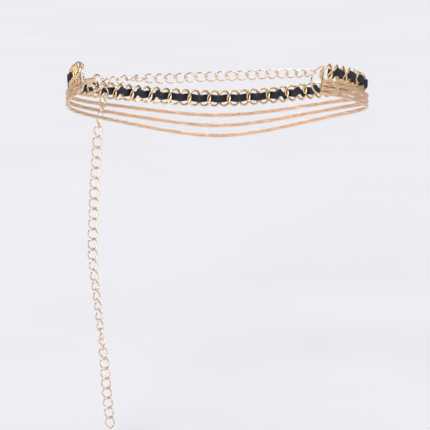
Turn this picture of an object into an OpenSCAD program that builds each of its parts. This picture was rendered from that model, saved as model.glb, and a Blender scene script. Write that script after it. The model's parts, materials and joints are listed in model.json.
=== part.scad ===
// Waist chain in its worn form. A broad curb chain with a leather strap woven through it goes round
// the sides and the front, with three fine chains under it. At the back a thin open curb chain joins
// the two end rings: a lobster clasp holds one of its links, and the rest of it hangs as a free tail.
// The origin is the middle of the waist, at the height of the chain across the back. The back is at
// -Y, the wearer's left-hand end of the woven chain is at -X, and +Z is up.

/* [Waist loop] */
// Width of the loop from side to side, chain middle to chain middle
waist_w = 270; // [250:2:320]
// Depth of the loop from the back to the front
waist_d = 200; // [176:2:240]
// Squareness of the loop seen from above, where 2 is an ellipse
waist_power = 2.2; // [2:0.1:2.6]
// How much lower the front of the woven chain hangs than the chain across the back
front_drop = 46; // [30:1:60]
// Angle round the waist from the middle of the back to the bar of the right end ring
ring_right_at = 51.4; // [44:0.2:54]
// Angle round the waist from the middle of the back to the bar of the left end ring
ring_left_at = 70.6; // [66:0.2:76]

/* [Thin chain] */
// Outer length of a link of the back chain and the tail
thin_link_l = 12; // [11.4:0.1:13]
// Outer height of such a link
thin_link_h = 9.2; // [8.6:0.1:10]
// Diameter of its wire
thin_wire = 1.2; // [1:0.05:1.3]
// Twist of such a link from end to end, in degrees
thin_twist = 90; // [84:1:96]
// Free room between the wires of two thin links along the chain
thin_gap = 0.35; // [0.3:0.05:0.5]

/* [Woven chain] */
// Outer length of a broad link
broad_link_l = 14.6; // [14:0.1:15.4]
// Outer height of a broad link
broad_link_h = 16.8; // [15.6:0.1:18]
// Diameter of its wire
broad_wire = 2.2; // [1.8:0.05:2.4]
// Twist of a broad link from end to end, in degrees
broad_twist = 60; // [52:1:66]
// Free room between the wires of two broad links along the chain
broad_gap = 0.4; // [0.35:0.05:0.6]

/* [Leather strap] */
// Width of the strap
strap_w = 7.4; // [6:0.1:7.8]
// Thickness of the strap
strap_t = 1.3; // [1:0.05:1.5]
// How far the strap's middle stands in front of and behind the chain's middle
strap_wave = 4.3; // [4.1:0.05:4.8]

/* [Fine strands] */
// Outer diameter of a fine strand
strand_d = 3.9; // [3.2:0.1:4]
// Distance from the woven chain's middle down to the first strand at the end rings
strand_below = 10.6; // [10.5:0.1:11]
// Distance from one strand down to the next
strand_step = 4.1; // [4.1:0.05:4.4]
// How much further each strand sags at the front than the one above it
strand_sag = 6; // [0:0.5:12]

/* [End rings] */
// Outer height of an end ring
ring_h = 26; // [25.8:0.2:28]
// Diameter of its wire
ring_wire = 1.6; // [1.2:0.1:1.8]

/* [Clasp] */
// Outer height of the clasp's hook
hook_h = 15.3; // [14.6:0.1:16]
// Diameter of the hook's wire
hook_wire = 2.1; // [1.7:0.05:2.3]
// Length from the middle of the base eye to the middle of the hook's opening
hook_at = 14.6; // [14.2:0.1:15.6]
// Thickness of the clasp's body
body_t = 4; // [3.6:0.1:4.8]
// Height of the clasp's body
body_h = 8; // [7.4:0.1:9]
// Diameter of the hinge pin
pin_d = 1.2; // [1:0.05:1.4]
// Running clearance round the hinge pin
pin_clear = 0.06; // [0.04:0.01:0.1]
// Thickness of the lever in the body's slot
lever_t = 1.6; // [1.2:0.05:1.8]
// Side clearance of the lever in the slot
lever_side = 0.15; // [0.1:0.05:0.25]
// Diameter of the thumb pad
pad_d = 3.6; // [3:0.1:4]
// Thickness of the thumb pad
pad_t = 3; // [2:0.1:3.6]
// Outer diameter of the jump ring
jump_d = 7.5; // [7.2:0.1:8]
// Diameter of the jump ring's wire
jump_wire = 1.2; // [0.9:0.05:1.3]

/* [Hidden] */

$fn = 48;
up = [0, 0, 1];
link_steps = 12;
wire_sides = 5;
strand_sides = 8;
strand_rings = 26;
seat = 0.45;
air = 0.3;

thin_a = (thin_link_l - thin_wire) / 2;
thin_b = (thin_link_h - thin_wire) / 2;
thin_pitch = 2 * thin_a - thin_wire - thin_gap;
broad_a = (broad_link_l - broad_wire) / 2;
broad_b = (broad_link_h - broad_wire) / 2;
broad_pitch = 2 * broad_a - broad_wire - broad_gap;
ring_r = (ring_h - ring_wire) / 2;
below_last = 1;
bar_below = strand_below + 2 * strand_step + below_last;
band_on_ring = bar_below - ring_r;

// Height of the woven chain round the waist: angle from the middle of the back towards the right
// hand, height as a share of front_drop
BAND_HEIGHTS = [
    [44, 0.09], [54, 0.01], [63, -0.08], [70, -0.175], [86, -0.38], [120, -0.68], [150, -0.91],
    [180, -1], [210, -0.92], [240, -0.72], [260, -0.51], [274, -0.31], [282, -0.14], [288, -0.02],
    [294, 0.04]];
// Height of the thin chain across the back, in the same columns
BACK_HEIGHTS = [
    [-72, -0.25], [-60, -0.2], [-50, -0.155], [-44, -0.11], [-37, -0.072], [-26, -0.045], [-7, 0],
    [13, 0.026], [31, 0.05], [50, 0.04]];
// Where the tail hangs: middle of the chain from the end of its first link, in millimetres
TAIL_ROUTE = [
    [0, 0, 0], [-1.6, -2.4, -11], [-3.8, -3.8, -20.5], [-5.5, -6, -39], [-7, -8.5, -59.5],
    [-8.5, -10.5, -81.5], [-9.5, -12.5, -104], [-10.5, -14, -128.5], [-10.5, -15, -146.5],
    [-8.5, -16, -167.5], [-6, -17, -190.5], [-3.5, -18, -213.5], [-1, -18.5, -238.5],
    [1, -19, -266.5], [3.5, -19.5, -294], [4, -19.5, -300.5]];
// Turn of the links about the chain: number of the link, angle in degrees
BACK_TURNS = [[0, -12], [4, -164], [5, -180]];
TAIL_TURNS = [[0, -32], [1, -53], [2, -85], [3, -117], [4, -149], [5, -180], [15, -180],
              [17, -215], [19, -236], [23, -240], [27, -360]];

function unit(v) = v / norm(v);
function cumulative(list, i = 0, sum = 0) =
    i >= len(list) ? [sum] : concat([sum], cumulative(list, i + 1, sum + list[i]));

// Smooth curve through a table of rows [x, value]
function row_at(rows, x, i = 0) =
    i >= len(rows) - 2 || x < rows[i + 1][0] ? i : row_at(rows, x, i + 1);
function slope_at(rows, i) =
    let (low = max(0, i - 1), high = min(len(rows) - 1, i + 1))
    (rows[high][1] - rows[low][1]) / (rows[high][0] - rows[low][0]);
function smooth(rows, x) =
    let (
        i = row_at(rows, x),
        span = rows[i + 1][0] - rows[i][0],
        f = (x - rows[i][0]) / span,
        rise = rows[i + 1][1] - rows[i][1],
        m0 = slope_at(rows, i) * span,
        m1 = slope_at(rows, i + 1) * span)
    rows[i][1] + f * m0 + f * f * (3 * rise - 2 * m0 - m1) + f * f * f * (m0 + m1 - 2 * rise);
function fade(f) = let (g = min(1, max(0, f))) g * g * (3 - 2 * g);

// Point of the waist at an angle from the middle of the back, with a height and a step outwards
function waist(angle, z = 0, out = 0) =
    let (
        share = pow(abs(sin(angle)) / (waist_w / 2), waist_power)
              + pow(abs(cos(angle)) / (waist_d / 2), waist_power),
        r = pow(share, -1 / waist_power) + out)
    [r * sin(angle), -r * cos(angle), z];
function waist_tangent(angle) = unit(waist(angle + 1) - waist(angle - 1));
function turned(v, angle) =
    [v.x * cos(angle) - v.y * sin(angle), v.x * sin(angle) + v.y * cos(angle), v.z];
function angle_of(p) = atan2(p.x, -p.y);

// A frame is [origin, x, y, z]
function frame(origin, along, upward, turn = 0) =
    let (
        x = unit(along),
        y = unit(upward - (upward * x) * x),
        z = cross(x, y))
    [origin, x, cos(turn) * y + sin(turn) * z, cos(turn) * z - sin(turn) * y];
function placed(f, p) = f[0] + p[0] * f[1] + p[1] * f[2] + p[2] * f[3];
module in_frame(f) {
    multmatrix([
        [f[1].x, f[2].x, f[3].x, f[0].x],
        [f[1].y, f[2].y, f[3].y, f[0].y],
        [f[1].z, f[2].z, f[3].z, f[0].z],
        [0, 0, 0, 1]])
        children();
}

// Joints at equal steps along a line of points, as near to the pitch as a whole number allows
function joints(line, pitch) =
    let (
        steps = [for (i = [1:len(line) - 1]) norm(line[i] - line[i - 1])],
        sums = cumulative(steps),
        total = sums[len(sums) - 1],
        count = ceil(total / pitch - 0.001),
        table = [for (i = [0:len(line) - 1]) [sums[i], i]])
    [for (k = [0:count])
        let (
            at = lookup(total * k / count, table),
            i = min(floor(at), len(line) - 2))
        line[i] + (at - i) * (line[i + 1] - line[i])];
function spline(points, per_span = 8) =
    let (last = len(points) - 1)
    concat([for (i = [0:last - 1], k = [0:per_span - 1])
        let (
            f = k / per_span,
            p0 = points[max(0, i - 1)],
            p1 = points[i],
            p2 = points[i + 1],
            p3 = points[min(last, i + 2)])
        p1 + f / 2 * (p2 - p0) + f * f / 2 * (2 * p0 - 5 * p1 + 4 * p2 - p3)
           + f * f * f / 2 * (3 * p1 - p0 - 3 * p2 + p3)],
        [points[last]]);

// Middle line, rings and faces of one twisted link
function link_line(a, b, twist, t) =
    let (turn = twist / 2 * cos(t))
    [a * cos(t), b * sin(t) * cos(turn), b * sin(t) * sin(turn)];
function link_points(a, b, twist, wire) = [
    for (i = [0:link_steps - 1])
        let (
            t = 360 * i / link_steps,
            p = link_line(a, b, twist, t),
            d = unit(link_line(a, b, twist, t + 1) - link_line(a, b, twist, t - 1)),
            r = unit(p - (p * d) * d),
            q = cross(d, r))
        for (j = [0:wire_sides - 1])
            p + wire / 2 * (cos(360 * j / wire_sides) * r + sin(360 * j / wire_sides) * q)];
function link_faces(first) = [
    for (i = [0:link_steps - 1], j = [0:wire_sides - 1])
        let (
            a = first + i * wire_sides + j,
            b = first + i * wire_sides + (j + 1) % wire_sides,
            c = first + (i + 1) % link_steps * wire_sides + (j + 1) % wire_sides,
            d = first + (i + 1) % link_steps * wire_sides + j)
        each [[a, c, b], [a, d, c]]];
module chain(frames, a, b, twist, wire) {
    shape = link_points(a, b, twist, wire);
    polyhedron(
        points = [for (f = frames, p = shape) placed(f, p)],
        faces = [for (k = [0:len(frames) - 1]) each link_faces(k * len(shape))]);
}
// Frames of the links between joints, turned about the chain by a list of angles
function link_frames(at, upward, turns) = [
    for (i = [0:len(at) - 2])
        frame((at[i] + at[i + 1]) / 2, at[i + 1] - at[i], upward, turns[i])];

// Rings of points swept into a closed tube
function tube_faces(rings, sides) = concat(
    [for (i = [0:rings - 2], j = [0:sides - 1])
        let (
            a = i * sides + j,
            b = i * sides + (j + 1) % sides)
        each [[a, b, b + sides], [a, b + sides, a + sides]]],
    [[for (j = [0:sides - 1]) sides - 1 - j]],
    [[for (j = [0:sides - 1]) (rings - 1) * sides + j]]);

// Woven chain: its line from the right ring's bar to the left ring's bar
function band_height(angle) = front_drop * smooth(BAND_HEIGHTS, angle);
function band_point(angle) = waist(angle, band_height(angle));
past_bar = (ring_wire + air) / 2;
right_angle = ring_right_at;
left_angle = 360 - ring_left_at;
function angle_step(angle, length) =
    length / norm(band_point(angle + 0.5) - band_point(angle - 0.5));
band_start = right_angle - angle_step(right_angle, past_bar);
band_end = left_angle + angle_step(left_angle, past_bar);
band_line = [for (k = [0:240]) band_point(band_start + (band_end - band_start) * k / 240)];
band_joints = joints(band_line, broad_pitch);
band_count = len(band_joints) - 1;
end_turn = 12;
band_frames = link_frames(band_joints, up,
    [for (i = [0:band_count - 1])
        end_turn * (max(0, 1 - i / 2) - max(0, 1 - (band_count - 1 - i) / 2))]);

// End rings: x points from the bar to the round side, z is along the bar. The bar stands square to
// the woven chain
ring_turn = -12;
function band_way(angle) = unit(band_point(angle + 0.5) - band_point(angle - 0.5));
function ring_frame(angle, towards_back, turn) =
    let (
        x = turned(towards_back * band_way(angle), turn),
        z = unit(up - (up * x) * x))
    [band_point(angle) - band_on_ring * z, x, cross(z, x), z];
right_ring = ring_frame(right_angle, -1, 0);
left_ring = ring_frame(left_angle, 1, ring_turn);
function on_ring(ring, height) = placed(ring, [sqrt(ring_r * ring_r - height * height), 0, height]);
right_hold = 5.4;
left_hold = -4.9;

// Clasp: x along it to the hook, y up, z outwards. The origin is the middle of its base eye
clasp_turn = 18;
clasp_rise = 0.085;
eye_r = 1.7;
eye_wire = 1.2;
jump_r = (jump_d - jump_wire) / 2;
jump_slack = 0.35;
jump_reach = 2 * jump_r - (jump_wire + ring_wire) / 2 - jump_slack;
eye_tilt = 50;
clasp_way = turned(waist_tangent(left_angle), clasp_turn);
eye_at = on_ring(left_ring, left_hold) + jump_reach * clasp_way;
clasp = frame(eye_at, clasp_way + clasp_rise * up, up);
hook_r = (hook_h - hook_wire) / 2;
nose_angle = -25;
nose_d = hook_wire + 0.3;
hook_from = 190;
pin_from_hook = [-3, -6.3];
pin_at = [hook_at, 0] + pin_from_hook;
pin_proud = 0.2;
slot_t = lever_t + 2 * lever_side;
slot_r = 2.8;
slot_way = 225;
slot_l = 9;
gate_turn = 15;
gate_air = 0.2;
boss_r = 2.1;
hub_r = 1.75;
gate_root_r = 1.3;
gate_tip_r = 0.75;
tab_w = 2.2;
nose_at = [hook_at + hook_r * cos(nose_angle), hook_r * sin(nose_angle)];
nose_from_pin = norm(nose_at - pin_at);
gate_l = nose_from_pin - nose_d / 2 - gate_air - gate_tip_r;
pad_at = [-4.2, -3];
wall_outer_r = hook_r + 1.35;
wall_inner_r = hook_r - 1.25;
corner_r = 1.5;
body_from = 1.6;
body_to = hook_at - 2;
groove_w = 0.5;
groove_deep = 0.3;
groove_at = [4.6, 6];
// The part of the disc round the hook's middle that belongs to the body: corners from that middle
WALL_PART = [[0, 0], [-14, 5], [-14, -9], [-3.4, -10], pin_from_hook];

// The hooked link in the clasp's frame. Each chain that hangs on it starts where it meets the
// link's wire: an angle round the link, and the way that the chain leaves
hook_air = 0.45;
hooked_at = [hook_at + hook_r - (hook_wire + thin_wire) / 2 + thin_a - hook_air, -0.5, 0.05];
hooked_along = [1, -0.06, 0.02];
hooked_up = [0.065, 0.935, -0.35];
back_from = 6.5;
back_way = [0.865, 0.32, -0.385];
tail_from = 272;
tail_way = [0.075, -0.925, 0.37];
function clasp_dir(d) = unit(d[0] * clasp[1] + d[1] * clasp[2] + d[2] * clasp[3]);
hooked_link = frame(placed(clasp, hooked_at), clasp_dir(hooked_along), clasp_dir(hooked_up));
function hooked_joint(angle, way) =
    placed(hooked_link, link_line(thin_a, thin_b, thin_twist, angle))
        - (thin_wire + thin_gap) / 2 * way;

// Fine strands: each leaves a bar below the woven chain, then runs below it, a little further out at
// the sides where the hips are wider
strand_out = 4;
right_blend = 24;
left_blend = 16;
function bar_point(ring, number) =
    placed(ring, [-ring_wire / 2 - seat, 0, band_on_ring - strand_below - strand_step * (number - 1)]);
function strand_run(number, angle) =
    let (
        f = frame(band_point(angle), band_way(angle), up),
        sag = strand_sag * number * pow((1 - cos(angle)) / 2, 3))
    f[0] - (strand_below + strand_step * (number - 1)) * f[2]
        + strand_out * abs(sin(angle)) * f[3] - [0, 0, sag];
function strand_point(number, share) =
    let (
        angle = right_angle + (left_angle - right_angle) * share,
        right_gap = bar_point(right_ring, number) - strand_run(number, right_angle),
        left_gap = bar_point(left_ring, number) - strand_run(number, left_angle))
    strand_run(number, angle)
        + right_gap * (1 - fade((angle - right_angle) / right_blend))
        + left_gap * (1 - fade((left_angle - angle) / left_blend));

module clasp_body_outline() {
    difference() {
        union() {
            translate([body_from + corner_r, -body_h / 2])
                square([body_to - body_from - corner_r, body_h]);
            translate([body_from, corner_r - body_h / 2])
                square([corner_r * 2, body_h - 2 * corner_r]);
            for (side = [-1, 1])
                translate([body_from + corner_r, side * (body_h / 2 - corner_r)])
                    circle(corner_r);
            translate([hook_at, 0])
                intersection() {
                    circle(wall_outer_r);
                    polygon(WALL_PART);
                }
            translate(pin_at) circle(boss_r);
        }
        translate([hook_at, 0]) circle(wall_inner_r);
    }
}
module clasp_slot() {
    translate([0, 0, -slot_t / 2])
        linear_extrude(slot_t) {
            translate(pin_at) circle(slot_r);
            translate(pin_at) rotate(slot_way) translate([0, -slot_r]) square([slot_l, 2 * slot_r]);
        }
}
module clasp_body() {
    color("#d9a47c")
        in_frame(clasp) {
            difference() {
                translate([0, 0, -body_t / 2])
                    linear_extrude(body_t) clasp_body_outline();
                clasp_slot();
                for (x = groove_at, side = [-1, 1])
                    translate([x, -body_h, side * body_t / 2 - groove_deep])
                        cube([groove_w, 2 * body_h, 2 * groove_deep]);
            }
            translate([pin_at.x, pin_at.y, -body_t / 2 - pin_proud])
                cylinder(d = pin_d, h = body_t + 2 * pin_proud);
            rotate([90 - eye_tilt, 0, 0])
                rotate_extrude() translate([eye_r, 0]) circle(d = eye_wire);
            translate([hook_at, 0, 0])
                rotate([0, 0, nose_angle]) rotate_extrude(angle = hook_from - nose_angle)
                    translate([hook_r, 0]) circle(d = hook_wire);
            translate([nose_at.x, nose_at.y, 0]) sphere(d = nose_d);
        }
}
module clasp_lever() {
    color("#d9a47c")
        in_frame(clasp)
            translate([pin_at.x, pin_at.y, 0])
                difference() {
                    union() {
                        translate([0, 0, -lever_t / 2])
                            linear_extrude(lever_t) {
                                circle(hub_r);
                                rotate(gate_turn) {
                                    polygon([[0, -gate_root_r], [gate_l, -gate_tip_r],
                                             [gate_l, gate_tip_r], [0, gate_root_r]]);
                                    translate([gate_l, 0]) circle(gate_tip_r);
                                }
                                rotate(atan2(pad_at.y, pad_at.x))
                                    translate([0, -tab_w / 2]) square([norm(pad_at), tab_w]);
                            }
                        translate([pad_at.x, pad_at.y, -pad_t / 2]) cylinder(d = pad_d, h = pad_t);
                    }
                    translate([0, 0, -body_t]) cylinder(d = pin_d + 2 * pin_clear, h = 2 * body_t);
                }
}
module clasp_ring() {
    middle = eye_at - jump_r * clasp_way;
    color("#d9a47c")
        in_frame(frame(middle, clasp_way, up, -eye_tilt))
            rotate_extrude() translate([jump_r, 0]) circle(d = jump_wire);
}
module hook_link() {
    color("#e6b48c") chain([hooked_link], thin_a, thin_b, thin_twist, thin_wire);
}

// Thin chain across the back: it leaves the hooked link and joins the line of the waist
back_first = hooked_joint(back_from, clasp_dir(back_way));
back_second = back_first + thin_pitch * clasp_dir(back_way);
back_slack = 0.25;
back_last = on_ring(right_ring, right_hold)
    + ((ring_wire + thin_gap) / 2 + back_slack) * waist_tangent(right_angle);
back_from_angle = angle_of(back_second);
back_to_angle = angle_of(back_last);
function back_height(angle) = front_drop * smooth(BACK_HEIGHTS, angle);
function back_point(angle) =
    let (
        f = (angle - back_from_angle) / (back_to_angle - back_from_angle),
        first = waist(back_from_angle, back_height(back_from_angle)),
        last = waist(back_to_angle, back_height(back_to_angle)))
    waist(angle, back_height(angle))
        + (back_second - first) * (1 - fade(f * 4))
        + (back_last - last) * fade(f * 4 - 3);
back_line = concat([back_first], [for (k = [0:120])
    back_point(back_from_angle + (back_to_angle - back_from_angle) * k / 120)]);
back_joints = joints(back_line, thin_pitch);
back_count = len(back_joints) - 1;
last_turn = 15;
last_turned = 4;
back_frames = link_frames(back_joints, up,
    [for (i = [0:back_count - 1])
        lookup(i, BACK_TURNS) + last_turn * max(0, i - back_count + last_turned)]);
module back_chain() {
    color("#e6b48c") chain(back_frames, thin_a, thin_b, thin_twist, thin_wire);
}

// Tail: its links face the back, with X as the way across them
tail_first = hooked_joint(tail_from, clasp_dir(tail_way));
tail_second = tail_first + thin_pitch * clasp_dir(tail_way);
tail_line = concat([tail_first], [for (p = spline(TAIL_ROUTE)) tail_second + p]);
tail_joints = joints(tail_line, thin_pitch);
tail_frames = link_frames(tail_joints, [1, 0, 0],
    [for (i = [0:len(tail_joints) - 2]) lookup(i, TAIL_TURNS)]);
module tail_chain() {
    color("#e6b48c") chain(tail_frames, thin_a, thin_b, thin_twist, thin_wire);
}

module end_ring(at) {
    color("#e0ac80")
        in_frame(at) {
            rotate([90, 0, 0]) rotate([0, 0, -90])
                rotate_extrude(angle = 180) translate([ring_r, 0]) circle(d = ring_wire);
            translate([0, 0, -ring_r]) cylinder(d = ring_wire, h = 2 * ring_r);
            for (side = [-1, 1])
                translate([0, 0, side * ring_r]) sphere(d = ring_wire);
        }
}
module end_ring_left() { end_ring(left_ring); }
module end_ring_right() { end_ring(right_ring); }

module woven_chain() {
    color("#e3bd72") chain(band_frames, broad_a, broad_b, -broad_twist, broad_wire);
}

// Leather strap: it passes in front of every second joint and behind the joints between
strap_first = 1;
strap_last = band_count - 2;
strap_steps = 3;
function strap_middle(station) =
    let (
        i = min(floor(station), band_count - 1),
        p = band_joints[i] + (station - i) * (band_joints[i + 1] - band_joints[i]),
        f = band_frames[i])
    p - strap_wave * cos(180 * (station - strap_first)) * f[3];
function strap_ring(station) =
    let (
        f = band_frames[min(floor(station), band_count - 1)],
        x = unit(strap_middle(station + 0.05) - strap_middle(station - 0.05)),
        n = unit(cross(x, f[2])))
    [for (c = [[-1, -1], [1, -1], [1, 1], [-1, 1]])
        strap_middle(station) + c[0] * strap_w / 2 * f[2] + c[1] * strap_t / 2 * n];
module leather_strap() {
    rings = (strap_last - strap_first) * strap_steps + 1;
    color("#23252f")
        polyhedron(
            points = [for (k = [0:rings - 1])
                each strap_ring(strap_first + k / strap_steps)],
            faces = tube_faces(rings, 4));
}

module strand(number) {
    line = [for (k = [0:strand_rings - 1]) strand_point(number, k / (strand_rings - 1))];
    color("#dba184")
        polyhedron(
            points = [for (k = [0:strand_rings - 1])
                let (
                    way = line[min(k + 1, strand_rings - 1)] - line[max(k - 1, 0)],
                    f = frame(line[k], way, up))
                for (j = [0:strand_sides - 1])
                    placed(f, strand_d / 2 * [0, cos(360 * j / strand_sides),
                                              sin(360 * j / strand_sides)])],
            faces = tube_faces(strand_rings, strand_sides));
}
module strand_1() { strand(1); }
module strand_2() { strand(2); }
module strand_3() { strand(3); }

clasp_body();
clasp_lever();
clasp_ring();
hook_link();
back_chain();
tail_chain();
end_ring_left();
end_ring_right();
woven_chain();
leather_strap();
strand_1();
strand_2();
strand_3();
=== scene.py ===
"""Looks of the waist chain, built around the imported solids. Every chain link, ring and clasp part and the
leather strap get their smooth, detailed form here, in the places where their solids are."""

import json
import math

import bpy
import numpy as np
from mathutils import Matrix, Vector


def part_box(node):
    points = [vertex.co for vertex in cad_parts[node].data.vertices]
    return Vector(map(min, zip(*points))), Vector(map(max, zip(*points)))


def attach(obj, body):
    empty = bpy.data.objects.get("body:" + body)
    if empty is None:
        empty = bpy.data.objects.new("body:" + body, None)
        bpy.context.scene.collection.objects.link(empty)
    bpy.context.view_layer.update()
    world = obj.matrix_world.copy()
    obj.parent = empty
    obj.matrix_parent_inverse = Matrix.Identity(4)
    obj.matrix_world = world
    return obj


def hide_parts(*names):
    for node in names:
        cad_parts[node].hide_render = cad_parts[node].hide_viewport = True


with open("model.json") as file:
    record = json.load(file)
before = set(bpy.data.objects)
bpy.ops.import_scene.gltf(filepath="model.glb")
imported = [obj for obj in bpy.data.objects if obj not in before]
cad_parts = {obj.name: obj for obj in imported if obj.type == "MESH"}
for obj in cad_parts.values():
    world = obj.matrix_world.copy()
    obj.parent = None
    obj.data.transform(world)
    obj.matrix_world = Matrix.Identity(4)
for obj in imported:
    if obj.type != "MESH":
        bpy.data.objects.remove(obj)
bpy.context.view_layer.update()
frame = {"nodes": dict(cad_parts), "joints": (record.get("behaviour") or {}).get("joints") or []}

# Sizes are in millimetres and angles in degrees, apart from seam_at, which is in radians. Only the floor and
# the camera are placed in metres.
MM = 0.001
UP = np.array([0.0, 0.0, 1.0])

# A link: half length and half height of its middle line, its twist and its wire. steps and sides say how
# finely the mesh is divided along and round the wire, and seam how deep the wire's closed joint shows.
THIN = {"a": 5.4, "b": 4.0, "twist": 90, "wire": 1.2, "steps": 44, "sides": 14, "seam": 0.12}
BROAD = {"a": 6.2, "b": 7.3, "twist": -60, "wire": 2.2, "steps": 56, "sides": 16, "seam": 0.08}
FINE = {"a": 1.597, "b": 1.597, "twist": 0, "wire": 0.69, "steps": 20, "sides": 6, "seam": 0.0}

# A fine strand is a rope of fine links: the step from one to the next, the tilt of their axes from the
# strand, their turn about the strand from one to the next, and how far the first leans from upright.
ROPE = {"pitch": 0.881, "tilt": 68.8, "turn": 114.5, "lean": 24}

# The small ring at each end of a rope, its gap to the bar, and the slack between it and the first link
SMALL_RING = {"radius": 1.7, "wire": 0.4, "steps": 40, "sides": 10, "seam": 0.12, "seam_at": 2.6}
SMALL_RING_GAP = 0.05
SMALL_RING_SLACK = 0.3

# The D-rings' wire and bends, and the points along their bar, their bends and their round
RING_WIRE = 1.6
RING_CORNER = 1.3
RING_SIDES = 18
RING_STEPS = {"bar": 16, "bend": 10, "round": 64}

# A wire's closed joint: its half width as a share of the wire, and how many half widths on each side of its
# middle are kept free of other points
JOINT_HALF = 0.09
JOINT_CLEAR = 2.6

# Points in each ring of the swept solids, and steps of a smooth line from one ring's middle to the next
STRAND_SIDES = 8
STRAND_STEPS = 24
STRAP_SIDES = 4
STRAP_STEPS = 5

# The strap's section, how far its width wanders as a share, and how fast, in radians for each millimetre
STRAP = {"width": 7.4, "thick": 1.3, "corner": 0.5, "corner_steps": 4, "wander": 0.012, "wave": 1.7}

# The clasp's plan, from its eye's middle: u runs to the hook, v up and w through it. CLASP_RISE is u's slope.
CLASP_RISE = 0.085
PIN_AT = np.array([11.6, -6.3])
PIN_R = 0.6
HOOK_AT = 14.6
HOOK_R = 6.6
HOOK_WIRE = 2.1
NOSE_ANGLE = -25


def unit(v):
    return v / np.linalg.norm(v, axis=-1, keepdims=True)


# Reading the solids


def vertices(node):
    """Points of a CAD node in millimetres, each once, and its triangles."""
    mesh = frame["nodes"][node].data
    points = np.empty(len(mesh.vertices) * 3)
    mesh.vertices.foreach_get("co", points)
    points = points.reshape(-1, 3) / MM
    kept, where = np.unique(np.round(points, 3), axis=0, return_inverse=True)
    mesh.calc_loop_triangles()
    faces = np.empty(len(mesh.loop_triangles) * 3, np.int64)
    mesh.loop_triangles.foreach_get("vertices", faces)
    return kept, where.reshape(-1)[faces].reshape(-1, 3)


def loose_parts(node):
    """Points of each loose solid of a node."""
    points, faces = vertices(node)
    label = np.arange(len(points))
    while True:
        lowest = label[faces].min(1)
        new = label.copy()
        np.minimum.at(new, faces.reshape(-1), np.repeat(lowest, 3))
        new = new[new]
        if np.array_equal(new, label):
            break
        label = new
    return [points[label == k] for k in np.unique(label)]


def link_frames(node, upright=False):
    """Middle and axes of each link: x along it, y up it. upright says that it is higher than long."""
    frames = []
    for points in loose_parts(node):
        middle = points.mean(0)
        axes = np.linalg.eigh(np.cov((points - middle).T))[1]
        x, y = (axes[:, 1], axes[:, 2]) if upright else (axes[:, 2], axes[:, 1])
        frames.append((middle, np.stack([x, y, np.cross(x, y)], 1)))
    return frames


def surface_axes(node):
    """Middle of a node's surface, its main axes, the widest first, and its points."""
    points, faces = vertices(node)
    corners = points[faces]
    sides = corners[:, 1:] - corners[:, :1]
    area = np.linalg.norm(np.cross(sides[:, 0], sides[:, 1]), axis=1)
    centres = corners.mean(1)
    middle = (centres * area[:, None]).sum(0) / area.sum()
    spread = (centres - middle) * np.sqrt(area)[:, None]
    axes = np.linalg.eigh(spread.T @ spread)[1]
    return middle, axes[:, ::-1], points


def way_round(points):
    """Angle of each point round the waist, from the middle of the back towards the right hand."""
    return np.degrees(np.arctan2(points[:, 0], -points[:, 1])) % 360


def ring_middles(node, count):
    """Middles of a swept solid's rings of count points, in order round the waist."""
    points = vertices(node)[0]
    points = points[np.argsort(way_round(points))]
    return points.reshape(-1, count, 3).mean(1)


# Making meshes


def new_object(name, data):
    made = bpy.data.objects.new(name, data)
    bpy.context.scene.collection.objects.link(made)
    return made


def new_piece(name, points, face_lists, slot, node, body="chain"):
    """One closed mesh in the place of a CAD node. points are in millimetres."""
    mesh = bpy.data.meshes.new(name)
    mesh.vertices.add(len(points))
    mesh.vertices.foreach_set("co", (points * MM).astype(np.float32).ravel())
    loops = np.concatenate([np.asarray(f, np.int32).ravel() for f in face_lists])
    sizes = np.concatenate([np.full(len(f), f.shape[1], np.int32) for f in face_lists])
    mesh.loops.add(len(loops))
    mesh.loops.foreach_set("vertex_index", loops)
    mesh.polygons.add(len(sizes))
    starts = np.concatenate([[0], np.cumsum(sizes)[:-1]])
    mesh.polygons.foreach_set("loop_start", starts.astype(np.int32))
    mesh.update(calc_edges=True)
    mesh.validate()
    mesh.polygons.foreach_set("use_smooth", np.ones(len(mesh.polygons), bool))
    mesh.materials.append(MATERIALS[slot])
    piece = new_object(name, mesh)
    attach(piece, body)
    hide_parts(node)


def grid_faces(rings, sides, closed=True):
    """Faces of a tube of rings. closed joins the last ring to the first."""
    spans = rings if closed else rings - 1
    i, j = np.meshgrid(np.arange(spans), np.arange(sides), indexing="ij")
    following, beside = (i + 1) % rings, (j + 1) % sides
    corners = [(i, j), (following, j), (following, beside), (i, beside)]
    return np.stack([a * sides + b for a, b in corners], -1).reshape(-1, 4)


def tubes_piece(name, tubes, slot, node):
    """One piece of closed tubes, each a grid of points: ring by ring along it, side by side round it."""
    faces, base = [], 0
    for points in tubes:
        rings, sides = points.shape[:2]
        faces.append(grid_faces(rings, sides) + base)
        base += rings * sides
    points = np.concatenate([points.reshape(-1, 3) for points in tubes])
    new_piece(name, points, [np.concatenate(faces)], slot, node)


def around_line(line, first, second, radius, sides):
    """Rings of points round each point of a line, from the first direction towards the second."""
    angle = np.linspace(0, 2 * math.pi, sides, endpoint=False)[None, :, None]
    ring = np.cos(angle) * first[:, None] + np.sin(angle) * second[:, None]
    return line[:, None] + radius[:, None, None] * ring


def link_line(shape, t):
    turn = np.radians(shape["twist"] / 2) * np.cos(t)
    height = shape["b"] * np.sin(t)
    return np.stack([shape["a"] * np.cos(t), height * np.cos(turn), height * np.sin(turn)], -1)


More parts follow.
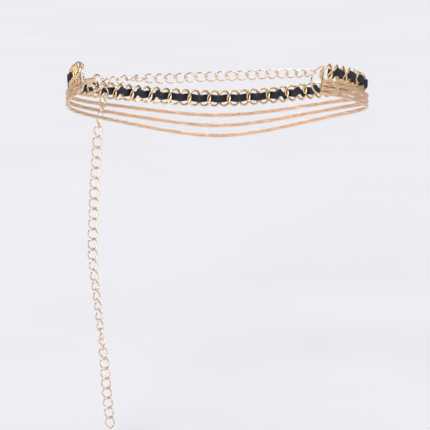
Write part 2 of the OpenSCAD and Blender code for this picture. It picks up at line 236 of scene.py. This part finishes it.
def link_template(shape):
    """Points of one link about its middle. The wire's closed joint is at its top."""
    t = np.linspace(0, 2 * math.pi, shape["steps"], endpoint=False)
    thick = np.ones(len(t))
    if shape["seam"]:
        top = math.pi / 2
        half = JOINT_HALF * shape["wire"] / shape["b"]
        near = (t > top - JOINT_CLEAR * half) & (t < top + JOINT_CLEAR * half)
        t = np.concatenate([t[~near], top + half * np.array([-1, 0, 1])])
        thick = np.concatenate([thick[~near], [1, 1 - shape["seam"], 1]])
        order = np.argsort(t)
        t, thick = t[order], thick[order]
    line = link_line(shape, t)
    way = unit(link_line(shape, t + 0.01) - link_line(shape, t - 0.01))
    out = unit(line - (line * way).sum(-1, keepdims=True) * way)
    return around_line(line, out, np.cross(out, way), shape["wire"] / 2 * thick, shape["sides"])


def links(frames, shape):
    """The points of a link in each of the frames."""
    template = link_template(shape)
    flat = template.reshape(-1, 3)
    return [(middle + flat @ axes.T).reshape(template.shape) for middle, axes in frames]


def ring_tube(line, thick, sides):
    """Rings of points round a closed flat line. thick is the wire at each of its points."""
    way = unit(np.roll(line, -1, 0) - np.roll(line, 1, 0))
    normal = unit(np.cross(way, np.roll(way, -1, 0)).sum(0))
    out = unit(np.cross(way, normal))
    return around_line(line, out, np.broadcast_to(normal, out.shape), thick / 2, sides)


def circle(middle, x, y, shape):
    """A closed round ring. Its joint is at the angle seam_at, from x towards y."""
    half = JOINT_HALF * shape["wire"] / shape["radius"]
    t = np.linspace(0, 2 * math.pi, shape["steps"], endpoint=False)
    t = t[(t > JOINT_CLEAR * half) & (t < 2 * math.pi - JOINT_CLEAR * half)]
    t = np.concatenate([[0, half], t, [2 * math.pi - half]]) + shape["seam_at"]
    thick = np.full(len(t), shape["wire"])
    thick[0] *= 1 - shape["seam"]
    line = middle + shape["radius"] * (np.cos(t)[:, None] * x + np.sin(t)[:, None] * y)
    return ring_tube(line, thick, shape["sides"])


def spline(points, per_span):
    """Smooth line through points, with per_span steps from one to the next."""
    before, after = 2 * points[0] - points[1], 2 * points[-1] - points[-2]
    padded = np.concatenate([[before], points, [after]])
    f = (np.arange(per_span) / per_span)[None, :, None]
    p0, p1, p2, p3 = (padded[k : len(padded) - 3 + k, None] for k in range(4))
    curve = (
        p1
        + f / 2 * (p2 - p0)
        + f**2 / 2 * (2 * p0 - 5 * p1 + 4 * p2 - p3)
        + f**3 / 2 * (3 * p1 - p0 - 3 * p2 + p3)
    )
    return np.concatenate([curve.reshape(-1, points.shape[1]), points[-1:]])


def lengths_along(line):
    return np.concatenate([[0], np.cumsum(np.linalg.norm(np.diff(line, axis=0), axis=1))])


def between(where, known, values):
    """Rows of values at the places in where, from the rows at the places in known."""
    return np.stack([np.interp(where, known, column) for column in values.T], -1)


# Materials


def material(name):
    made = bpy.data.materials.new(name)
    made.use_nodes = True
    tree = made.node_tree
    return made, tree, tree.nodes["Principled BSDF"]


def noise(tree, scale, detail, roughness=0.5, stretch=None):
    source = tree.nodes.new("ShaderNodeTexCoord").outputs["Object"]
    if stretch:
        mapping = tree.nodes.new("ShaderNodeMapping")
        mapping.inputs["Scale"].default_value = stretch
        tree.links.new(source, mapping.inputs["Vector"])
        source = mapping.outputs["Vector"]
    made = tree.nodes.new("ShaderNodeTexNoise")
    for key, value in (("Scale", scale), ("Detail", detail), ("Roughness", roughness)):
        made.inputs[key].default_value = value
    tree.links.new(source, made.inputs["Vector"])
    return made.outputs["Fac"]


def ramp(tree, source, stops):
    made = tree.nodes.new("ShaderNodeValToRGB")
    elements = made.color_ramp.elements
    while len(elements) < len(stops):
        elements.new(0.5)
    for element, (where, colour) in zip(elements, stops):
        element.position = where
        element.color = (*colour, 1)
    tree.links.new(source, made.inputs["Fac"])
    return made.outputs["Color"]


def span(tree, source, low, high, to_low, to_high):
    made = tree.nodes.new("ShaderNodeMapRange")
    for key, value in (("From Min", low), ("From Max", high), ("To Min", to_low), ("To Max", to_high)):
        made.inputs[key].default_value = value
    tree.links.new(source, made.inputs["Value"])
    return made.outputs["Result"]


def multiplied(tree, first, second, share):
    """The first colour multiplied by a share of the second."""
    made = tree.nodes.new("ShaderNodeMix")
    made.data_type = "RGBA"
    made.blend_type = "MULTIPLY"
    made.inputs["Factor"].default_value = share
    tree.links.new(first, made.inputs["A"])
    tree.links.new(second, made.inputs["B"])
    return made.outputs["Result"]


def bump(tree, source, strength, distance, before=None):
    made = tree.nodes.new("ShaderNodeBump")
    made.inputs["Strength"].default_value = strength
    made.inputs["Distance"].default_value = distance
    tree.links.new(source, made.inputs["Height"])
    if before is not None:
        tree.links.new(before, made.inputs["Normal"])
    return made.outputs["Normal"]


def plated(name, dark, light, patches=420, rough=(0.12, 0.24)):
    """Polished plated metal: its tone and gloss wander, with fine polishing marks and soft dents."""
    made, tree, shader = material(name)
    shader.inputs["Metallic"].default_value = 1
    tone = ramp(tree, noise(tree, patches, 4), [(0.32, dark), (0.62, light)])
    gloss = span(tree, noise(tree, 900, 5, 0.6), 0.3, 0.7, *rough)
    dents = bump(tree, noise(tree, 700, 2), 0.25, 0.00008)
    marks = bump(tree, noise(tree, 5200, 3, 0.6, (1, 1, 0.35)), 0.12, 0.00002, dents)
    tree.links.new(tone, shader.inputs["Base Color"])
    tree.links.new(gloss, shader.inputs["Roughness"])
    tree.links.new(marks, shader.inputs["Normal"])
    return made


def leather(name):
    """Matt black leather: pebbled grain, soft creases, and painted shade that makes the tone darker between
    the pebbles.
    """
    made, tree, shader = material(name)
    cells = tree.nodes.new("ShaderNodeTexVoronoi")
    cells.feature = "DISTANCE_TO_EDGE"
    cells.inputs["Scale"].default_value = 2300
    place = tree.nodes.new("ShaderNodeTexCoord")
    tree.links.new(place.outputs["Object"], cells.inputs["Vector"])
    pebbles = span(tree, cells.outputs["Distance"], 0.0, 0.22, 0.0, 1.0)
    fine = noise(tree, 3600, 4, 0.65)
    soft = noise(tree, 330, 3)
    tone = ramp(tree, soft, [(0.35, (0.014, 0.018, 0.030)), (0.68, (0.036, 0.042, 0.064))])
    # Painted shade: the tone is darkened in the gaps between the pebbles, where shade falls
    painted_pebble_shade = ramp(tree, pebbles, [(0.0, (0.006, 0.007, 0.011)), (1.0, (1.0, 1.0, 1.0))])
    tree.links.new(multiplied(tree, tone, painted_pebble_shade, 0.55), shader.inputs["Base Color"])
    tree.links.new(span(tree, fine, 0.3, 0.7, 0.5, 0.72), shader.inputs["Roughness"])
    shader.inputs["Specular IOR Level"].default_value = 0.42
    creases = bump(tree, soft, 0.35, 0.0003)
    grain = bump(tree, pebbles, 0.45, 0.00012, creases)
    tree.links.new(bump(tree, fine, 0.3, 0.00005, grain), shader.inputs["Normal"])
    return made


MATERIALS = {
    "clasp": plated("clasp_gold", (0.80, 0.57, 0.38), (0.94, 0.74, 0.54)),
    "thin_gold": plated("thin_chain_gold", (0.80, 0.56, 0.38), (0.96, 0.77, 0.58), 300),
    "broad_gold": plated("broad_chain_gold", (0.82, 0.56, 0.30), (0.95, 0.74, 0.47)),
    "rose_gold": plated("rose_gold", (1.0, 0.65, 0.42), (1.0, 0.83, 0.64), 260, (0.08, 0.18)),
    "leather": leather("black_leather"),
}


# Links of the thin and the broad chain

for node in ("hook_link", "back_chain", "tail_chain"):
    tubes_piece(f"{node}_smooth", links(link_frames(node), THIN), "thin_gold", node)
broad_frames = link_frames("woven_chain", upright=True)
tubes_piece("woven_chain_smooth", links(broad_frames, BROAD), "broad_gold", "woven_chain")


# End rings and the clasp's jump ring


def arc(middle, radius, start, end, steps):
    """Points of a flat arc without its last one."""
    t = np.linspace(start, end, steps, endpoint=False)
    return middle + radius * np.stack([np.cos(t), np.sin(t)], 1)


def end_ring(node):
    """A wire D with small bends at the bar's ends. Returns the bar's middle and its direction."""
    middle, axes, points = surface_axes(node)
    z, x = axes[:, 0], axes[:, 1]
    if z[2] < 0:
        z = -z
    across = (points - middle) @ x
    if across.max() < -across.min():
        x, across = -x, -across
    along = (points - middle) @ z
    radius = (along.max() - along.min() - RING_WIRE) / 2
    bar = middle + x * (across.min() + RING_WIRE / 2) + z * (along.max() + along.min()) / 2
    c = RING_CORNER
    height = math.sqrt((radius - c) ** 2 - c**2)
    bend = math.atan2(height, c)
    straight = np.linspace(-height, height, RING_STEPS["bar"], endpoint=False)
    corner = np.array([c, height])
    flat = np.concatenate([
        np.stack([0 * straight, straight], 1),
        arc(corner, c, math.pi, bend, RING_STEPS["bend"]),
        arc(np.zeros(2), radius, bend, -bend, RING_STEPS["round"]),
        arc(corner, c, bend, math.pi, RING_STEPS["bend"]) * [1, -1],
    ])
    line = bar + flat[:, :1] * x + flat[:, 1:] * z
    ring = ring_tube(line, np.full(len(line), RING_WIRE), RING_SIDES)
    tubes_piece(f"{node}_smooth", [ring], "clasp", node)
    return bar, z


def jump_ring(node):
    middle, axes, points = surface_axes(node)
    reach = np.linalg.norm(points - middle, axis=1)
    shape = {
        "radius": (reach.max() + reach.min()) / 2, "wire": reach.max() - reach.min(),
        "steps": 72, "sides": 16, "seam": 0.14, "seam_at": 0.9}
    tubes_piece(f"{node}_smooth", [circle(middle, axes[:, 0], axes[:, 1], shape)], "clasp", node)


right_bar = end_ring("end_ring_right")
left_bar = end_ring("end_ring_left")
jump_ring("clasp_ring")


# Fine strands: ropes of small round links, with a small ring round the D-ring's bar at each end


def rope_frames(line):
    """Middle and axes of each link of a rope that starts and ends at the ends of a line."""
    sums = lengths_along(line)
    tilt = math.radians(ROPE["tilt"])
    inset = FINE["a"] * math.sin(tilt)
    count = round((sums[-1] - 2 * inset) / ROPE["pitch"])
    where = np.linspace(inset, sums[-1] - inset, count + 1)
    centres = between(where, sums, line)
    ways = unit(between(where + 0.5, sums, line) - between(where - 0.5, sums, line))
    # A whole number of half turns and the two leans, so that both end links lie alike in their small rings
    whole = 180 * round(ROPE["turn"] * count / 180) + 2 * ROPE["lean"]
    turns = np.radians(90 - ROPE["lean"] + whole * np.arange(count + 1) / count)
    frames = []
    for centre, along, turn in zip(centres, ways, turns):
        up = unit(UP - (UP @ along) * along)
        out = np.cross(along, up)
        side = math.cos(turn) * up + math.sin(turn) * out
        across = -math.sin(turn) * up + math.cos(turn) * out
        normal = math.cos(tilt) * along + math.sin(tilt) * side
        frames.append((centre, np.stack([across, np.cross(normal, across), normal], 1)))
    return frames


def strand(number):
    node = f"strand_{number}"
    middles = ring_middles(node, STRAND_SIDES)
    # Distances from the bar's middle: to the ring behind it, to the ring's far side, to the first link
    near = (RING_WIRE + SMALL_RING["wire"]) / 2 + SMALL_RING_GAP
    far = 2 * SMALL_RING["radius"] - near
    first = far - (SMALL_RING["wire"] + FINE["wire"]) / 2 - SMALL_RING_SLACK
    rings, ends = [], []
    for (bar, z), end in ((right_bar, middles[0]), (left_bar, middles[-1])):
        at_bar = bar + z * ((end - bar) @ z)
        way = unit(end - at_bar)
        rings.append(circle(at_bar + way * (far - near) / 2, way, np.cross(z, way), SMALL_RING))
        ends.append(at_bar + way * first)
    line = spline(np.concatenate([ends[:1], middles[1:-1], ends[1:]]), STRAND_STEPS)
    tubes_piece(f"fine_chain_{number}", links(rope_frames(line), FINE) + rings, "rose_gold", node)


for number in (1, 2, 3):
    strand(number)


# Leather strap: rounded edges that stay parallel to the chain's course, and a little unevenness


def rounded_section(width, thick, corner, steps):
    """Points round a flat section with round corners."""
    points = []
    for side_u, side_n, start in ((1, 1, 0), (-1, 1, 90), (-1, -1, 180), (1, -1, 270)):
        for step in range(steps + 1):
            angle = math.radians(start + 90 / steps * step)
            points.append((
                side_u * (width / 2 - corner) + corner * math.cos(angle),
                side_n * (thick / 2 - corner) + corner * math.sin(angle)))
    return np.array(points)


def strap():
    line = spline(ring_middles("leather_strap", STRAP_SIDES), STRAP_STEPS)
    way = unit(np.gradient(line, axis=0))
    middles = np.array([middle for middle, _ in broad_frames])
    middles = middles[np.argsort(way_round(middles))]
    course = unit(between(way_round(line), way_round(middles), np.gradient(middles, axis=0)))
    ups = unit(UP - (course @ UP)[:, None] * course)
    outs = unit(np.cross(way, ups))
    section = rounded_section(STRAP["width"], STRAP["thick"], STRAP["corner"], STRAP["corner_steps"])
    share = 1 - STRAP["wander"] * (1 + np.sin(lengths_along(line) * STRAP["wave"]))
    points = (
        line[:, None]
        + section[None, :, :1] * share[:, None, None] * ups[:, None]
        + section[None, :, 1:] * outs[:, None])
    count, sides = points.shape[:2]
    walls = grid_faces(count, sides, closed=False)[:, ::-1]
    round_it = np.arange(sides)[None]
    caps = [round_it[:, ::-1], round_it + (count - 1) * sides]
    new_piece("leather_strap_soft", points.reshape(-1, 3), [walls, *caps], "leather", "leather_strap")


strap()


# Clasp: its forms are worked out as distances on a grid, in the clasp's own axes, and skinned


def surface(field, low, step):
    """Closed skin where a field of distances on a grid changes sign: a point in each cell that it crosses,
    at the mean of its crossings of the cell's edges, and a face across each of the grid's edges."""
    shape = np.array(field.shape) - 1
    total = np.zeros((*shape, 3))
    count = np.zeros(tuple(shape))
    inside = field < 0
    for axis in range(3):
        first, second = [d for d in range(3) if d != axis]
        for a, b in ((0, 0), (0, 1), (1, 0), (1, 1)):
            start = np.zeros(3, int)
            start[first], start[second] = a, b
            end = start.copy()
            end[axis] = 1
            near, far = (
                tuple(slice(o, o + n) for o, n in zip(offset, shape)) for offset in (start, end)
            )
            crossed = inside[near] != inside[far]
            share = np.where(crossed, field[near] / np.where(crossed, field[near] - field[far], 1), 0)
            total[..., axis] += share
            total[..., first] += a * crossed
            total[..., second] += b * crossed
            count += crossed
    active = count > 0
    index = np.full(tuple(shape), -1)
    index[active] = np.arange(active.sum())
    points = low + step * (np.argwhere(active) + total[active] / count[active][:, None])
    faces = []
    for axis in range(3):
        first, second = (axis + 1) % 3, (axis + 2) % 3
        near, far = [slice(1, -1)] * 3, [slice(1, -1)] * 3
        near[axis], far[axis] = slice(0, -1), slice(1, None)
        crossed = inside[tuple(near)] != inside[tuple(far)]
        offset = np.ones(3, int)
        offset[axis] = 0
        cells = np.argwhere(crossed) + offset
        corners = []
        for a, b in ((0, 0), (1, 0), (1, 1), (0, 1)):
            corner = cells.copy()
            corner[:, first] -= a
            corner[:, second] -= b
            corners.append(index[tuple(corner.T)])
        quad = np.stack(corners, 1)
        rising = inside[tuple(near)][crossed]
        faces.append(np.where(rising[:, None], quad, quad[:, ::-1]))
    return points, np.concatenate(faces)


def blend(a, b, k):
    """Smooth union of two fields. k is about the width of the fillet between them."""
    h = np.clip(0.5 + 0.5 * (b - a) / k, 0, 1)
    return b + (a - b) * h - k * h * (1 - h)


def cut(a, b, k):
    """Field a without b, with its edge rounded."""
    return -blend(-a, b, k)


def rounded(a, b, r):
    """Distance outside two bounds at once, with the edge between them rounded by r."""
    a, b = a + r, b + r
    return np.hypot(np.maximum(a, 0), np.maximum(b, 0)) + np.minimum(np.maximum(a, b), 0) - r


def flat_box(x, y, half_x, half_y, r):
    return rounded(np.abs(x) - half_x, np.abs(y) - half_y, r)


def raised(flat, w, half, r):
    """A flat outline's field given thickness, with edges rounded by r."""
    return rounded(flat, np.abs(w) - half, r)


def flat_bar(x, y, end, r_start, r_end):
    """Field of a flat bar from the middle to its end. Its half width goes from r_start to r_end."""
    f = np.clip((x * end[0] + y * end[1]) / (end @ end), 0, 1)
    return np.hypot(x - f * end[0], y - f * end[1]) - (r_start + f * (r_end - r_start))


def grid(low, high, step):
    axes = [np.arange(a, b + step, step) for a, b in zip(low, high)]
    return np.meshgrid(*axes, indexing="ij")


def clasp_piece(name, field, low, step, node, body="chain", shift=(0, 0)):
    """The skin of a field in the clasp's axes, moved by a shift in u and v."""
    points, faces = surface(field, low, step)
    points[:, :2] += shift
    hinge = frame["joints"][0]
    w = unit(np.array(hinge["axis"], float))
    u = unit(np.cross(UP, w) + CLASP_RISE * UP)
    v = np.cross(w, u)
    origin = np.array(hinge["pos_m"], float) / MM - PIN_AT[0] * u - PIN_AT[1] * v
    new_piece(name, origin + points @ np.stack([u, v, w], 0), [faces], "clasp", node, body)


def clasp_body():
    low, high, step = np.array([-3.0, -9.6, -3.0]), (23.4, 8.8, 3.0), 0.125
    half_thick = 2.0
    u, v, w = grid(low, high, step)
    hook_u = u - HOOK_AT
    around = np.hypot(hook_u, v)
    angle = np.degrees(np.arctan2(v, hook_u)) % 360
    pin_u, pin_v = u - PIN_AT[0], v - PIN_AT[1]
    from_pin = np.hypot(pin_u, pin_v)
    from_middle = np.abs(w)

    # Plate, the wall round the hook's foot and the pin's boss. They get thinner towards the eye.
    plate_at, plate_half_u, plate_half_v, plate_corner = 7.1, 5.5, 4.0, 1.5
    wall_out, wall_in, wall_from, wall_to = 1.35, 1.25, 158, 250
    boss_r = 2.1
    plate = flat_box(u - plate_at, v, plate_half_u, plate_half_v, plate_corner)
    past_wall = np.maximum(wall_from - angle, angle - wall_to) * 0.1
    wall = np.maximum(around - (HOOK_R + wall_out), past_wall)
    flat = blend(blend(plate, wall, 0.8), from_pin - boss_r, 0.8)
    flat = cut(flat, around - (HOOK_R - wall_in), 0.4)
    thinner = 0.35 * np.clip((5.5 - u) / 4, 0, 1)
    body = raised(flat, w, half_thick - thinner, 0.8)

    # Two grooves across the plate
    groove_half, groove_deep = 0.27, 0.28
    for at in (4.85, 6.25):
        body = cut(body, np.maximum(np.abs(u - at) - groove_half, -(body + groove_deep)), 0.12)

    # Slot for the lever, open towards its thumb tab
    slot_r, slot_half, channel_half = 2.8, 0.95, 4.5
    slant = math.sqrt(0.5)
    along, beside = (pin_u + pin_v) * -slant, (pin_v - pin_u) * slant
    channel = flat_box(along - channel_half, beside, channel_half, slot_r, 0.3)
    slot = np.minimum(from_pin - slot_r, channel)
    body = cut(body, np.maximum(slot, from_middle - slot_half), 0.15)

    # Eye at the base
    eye_r, eye_wire, tilt = 1.7, 1.2, math.radians(40)
    across = -math.sin(tilt) * v + math.cos(tilt) * w
    in_plane = math.cos(tilt) * v + math.sin(tilt) * w
    body = blend(body, np.hypot(np.hypot(u, in_plane) - eye_r, across) - eye_wire / 2, 0.45)

    # Hook, a little thicker towards its rounded nose
    foot, swell, nose_r = 190, 0.06, 1.2
    on_hook = np.where(angle > 360 + NOSE_ANGLE, angle, NOSE_ANGLE % 360)
    on_hook = np.where(angle < foot + 2, np.clip(angle, 0, foot), on_hook)
    from_front = np.radians(np.where(on_hook > 300, on_hook - 360, on_hook))
    thick = HOOK_WIRE / 2 * (1 + swell * np.cos(from_front * 0.9 + 0.6))

    def from_wire(at):
        return np.sqrt((hook_u - HOOK_R * np.cos(at)) ** 2 + (v - HOOK_R * np.sin(at)) ** 2 + w**2)

    hook = from_wire(np.radians(on_hook)) - thick
    nose = from_wire(math.radians(NOSE_ANGLE)) - nose_r
    body = blend(body, blend(hook, nose, 0.3), 0.5)

    # Pin through the slot, and its domed heads
    head_r, head_at, head_flatness, head_from = 1.0, 1.9, 2.2, 1.6
    body = np.minimum(body, np.maximum(from_pin - PIN_R, from_middle - half_thick))
    head = np.sqrt(from_pin**2 + ((from_middle - head_at) * head_flatness) ** 2) - head_r
    body = blend(body, np.maximum(head, head_from - from_middle), 0.08)
    clasp_piece("clasp_body_cast", body, low, step, "clasp_body")


def clasp_lever():
    low, high, step = np.array([-7.2, -6.2, -2.25]), (9.6, 4.4, 2.2), 0.1
    hub_r, bore_r = 1.75, PIN_R + 0.06
    arm_turn, arm_length = math.radians(15), 7.49
    thumb_at, thumb_r = np.array([-4.2, -3.0]), 1.8
    x, y, w = grid(low, high, step)
    from_pin = np.hypot(x, y)
    arm_end = arm_length * np.array([math.cos(arm_turn), math.sin(arm_turn)])
    flat = blend(from_pin - hub_r, flat_bar(x, y, arm_end, 1.3, 0.75), 0.5)
    flat = blend(flat, flat_bar(x, y, thumb_at, 1.1, 1.1), 0.5)
    lever = raised(flat, w, 0.8, 0.3)
    thumb = raised(np.hypot(x - thumb_at[0], y - thumb_at[1]) - thumb_r, w, 1.5, 0.55)
    lever = cut(blend(lever, thumb, 0.35), from_pin - bore_r, 0.1)
    clasp_piece("clasp_lever_cast", lever, low, step, "clasp_lever", "lever", PIN_AT)


clasp_body()
clasp_lever()


# Floor, light and camera


def sun(name, azimuth, elevation, power, angle, colour=(1, 1, 1)):
    """A wide soft lamp. azimuth is measured from the camera's side towards the right."""
    data = bpy.data.lights.new(name, "SUN")
    data.energy = power
    data.angle = math.radians(angle)
    data.color = colour
    a, e = math.radians(azimuth), math.radians(elevation)
    way = Vector((math.sin(a) * math.cos(e), -math.cos(a) * math.cos(e), math.sin(e)))
    new_object(name, data).rotation_euler = way.to_track_quat("Z", "Y").to_euler()


def studio():
    """Pale tent overhead with a dark band round it and two dark flags, which draw lines in the metal."""
    world = bpy.data.worlds.new("studio")
    bpy.context.scene.world = world
    world.use_nodes = True
    tree = world.node_tree
    place = tree.nodes.new("ShaderNodeTexCoord")
    split = tree.nodes.new("ShaderNodeSeparateXYZ")
    tree.links.new(place.outputs["Generated"], split.inputs["Vector"])
    height = ramp(tree, split.outputs["Z"], [
        (0.0, (0.45, 0.45, 0.46)), (0.03, (0.30, 0.29, 0.28)),
        (0.07, (0.020, 0.014, 0.010)), (0.50, (0.035, 0.026, 0.020)),
        (0.60, (0.85, 0.85, 0.86)), (0.75, (1.0, 1.0, 1.0))])
    white, left_flag, right_flag = (1, 1, 1), (0.10, 0.09, 0.08), (0.12, 0.11, 0.10)
    side = ramp(tree, span(tree, split.outputs["X"], -1, 1, 0, 1), [
        (0.13, white), (0.16, left_flag), (0.23, left_flag), (0.27, white),
        (0.70, white), (0.74, right_flag), (0.80, right_flag), (0.84, white)])
    background = tree.nodes["Background"]
    tree.links.new(multiplied(tree, height, side, 0.9), background.inputs["Color"])
    background.inputs["Strength"].default_value = 1.0
    sun("key", -38, 52, 1.1, 26, (1.0, 0.99, 0.97))
    sun("front", -14, 26, 0.65, 12)
    sun("fill", 50, 34, 0.35, 60)
    sun("back", 170, 48, 0.3, 50)


def stage():
    """Plain pale floor, a little below the tail's end. It is so wide that its edges stay out of view."""
    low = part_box("tail_chain")[0].z - 0.012
    half = 14
    mesh = bpy.data.meshes.new("floor")
    corners = [(x, y, low) for x, y in ((-half, -half), (half, -half), (half, half), (-half, half))]
    mesh.from_pydata(corners, [], [(0, 1, 2, 3)])
    floor = new_object("floor", mesh)
    made, tree, shader = material("pale_floor")
    tone = ramp(tree, noise(tree, 3, 2), [(0.3, (0.805, 0.805, 0.855)), (0.7, (0.825, 0.825, 0.875))])
    tree.links.new(tone, shader.inputs["Base Color"])
    shader.inputs["Roughness"].default_value = 0.9
    shader.inputs["Specular IOR Level"].default_value = 0.2
    mesh.materials.append(made)


def camera():
    """The photo's view. The lens's length is in the photo's pixels."""
    photo_width, lens_length, down = 430, 2000, 11
    data = bpy.data.cameras.new("camera")
    data.sensor_width = 36
    data.lens = data.sensor_width * lens_length / photo_width
    data.clip_end = 60
    made = new_object("camera", data)
    made.location = (-0.002, -1.85, 0.2165)
    made.rotation_euler = (math.radians(90 - down), 0, 0)
    bpy.context.scene.camera = made


studio()
stage()
camera()
bpy.context.scene.view_settings.view_transform = "Standard"
